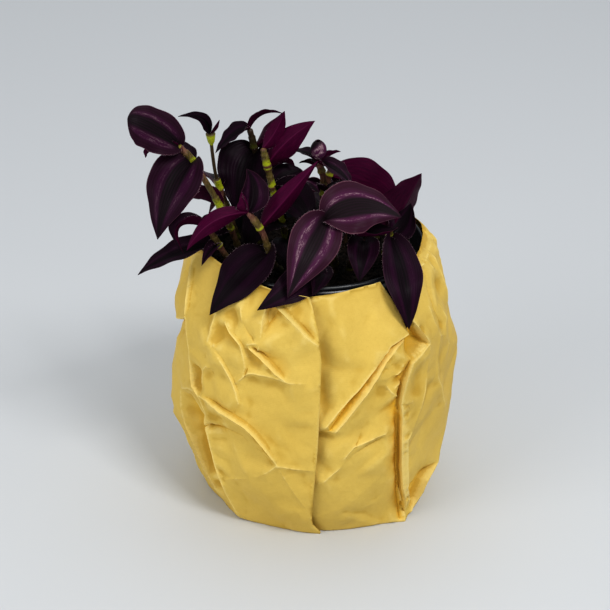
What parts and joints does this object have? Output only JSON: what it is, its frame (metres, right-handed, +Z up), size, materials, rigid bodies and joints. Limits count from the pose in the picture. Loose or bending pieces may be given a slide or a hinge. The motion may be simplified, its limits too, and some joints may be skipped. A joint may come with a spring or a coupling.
{
  "type": "potted tradescantia",
  "caption": "Trailing houseplant with burgundy, silver-striped leaves in a black nursery pot, wrapped in crumpled yellow kraft paper.",
  "frame": {"origin": "on the pot's axis, on the flat underside of the paper wrap, at the level of the surface it stands on", "axes": "+Z up along the pot's axis, -Y towards the side where the paper's outer edge laps over, +X to the right seen from there"},
  "size_m": [0.1815, 0.1752, 0.244],
  "materials": {
    "pot": "semi-gloss injection-moulded black polypropylene",
    "soil": "dark moist peat mix, matt and crumbly",
    "paper": "matt yellow kraft paper, crumpled, with fine laid ribs",
    "leaf": "soft satin leaf, dark burgundy with two lengthwise silvery purple bands, magenta underneath"
  },
  "bodies": {
    "root": {"nursery_pot": "pot", "potting_soil": "soil", "paper_wrap": "paper", "leafy_stem_tall_left": "leaf", "leafy_stem_bud_left": "leaf", "leafy_stem_low_left": "leaf", "leafy_stem_front": "leaf", "leafy_stem_low_front": "leaf", "leafy_stem_upper_middle": "leaf", "leafy_stem_dark_back": "leaf", "leafy_stem_middle": "leaf", "leafy_stem_back_right": "leaf", "leafy_stem_front_right": "leaf", "leafy_stem_low_right": "leaf", "leafy_stem_right": "leaf", "leafy_stem_rear_left": "leaf", "leafy_stem_rear": "leaf", "leafy_stem_rear_right": "leaf"}
  },
  "joints": []
}
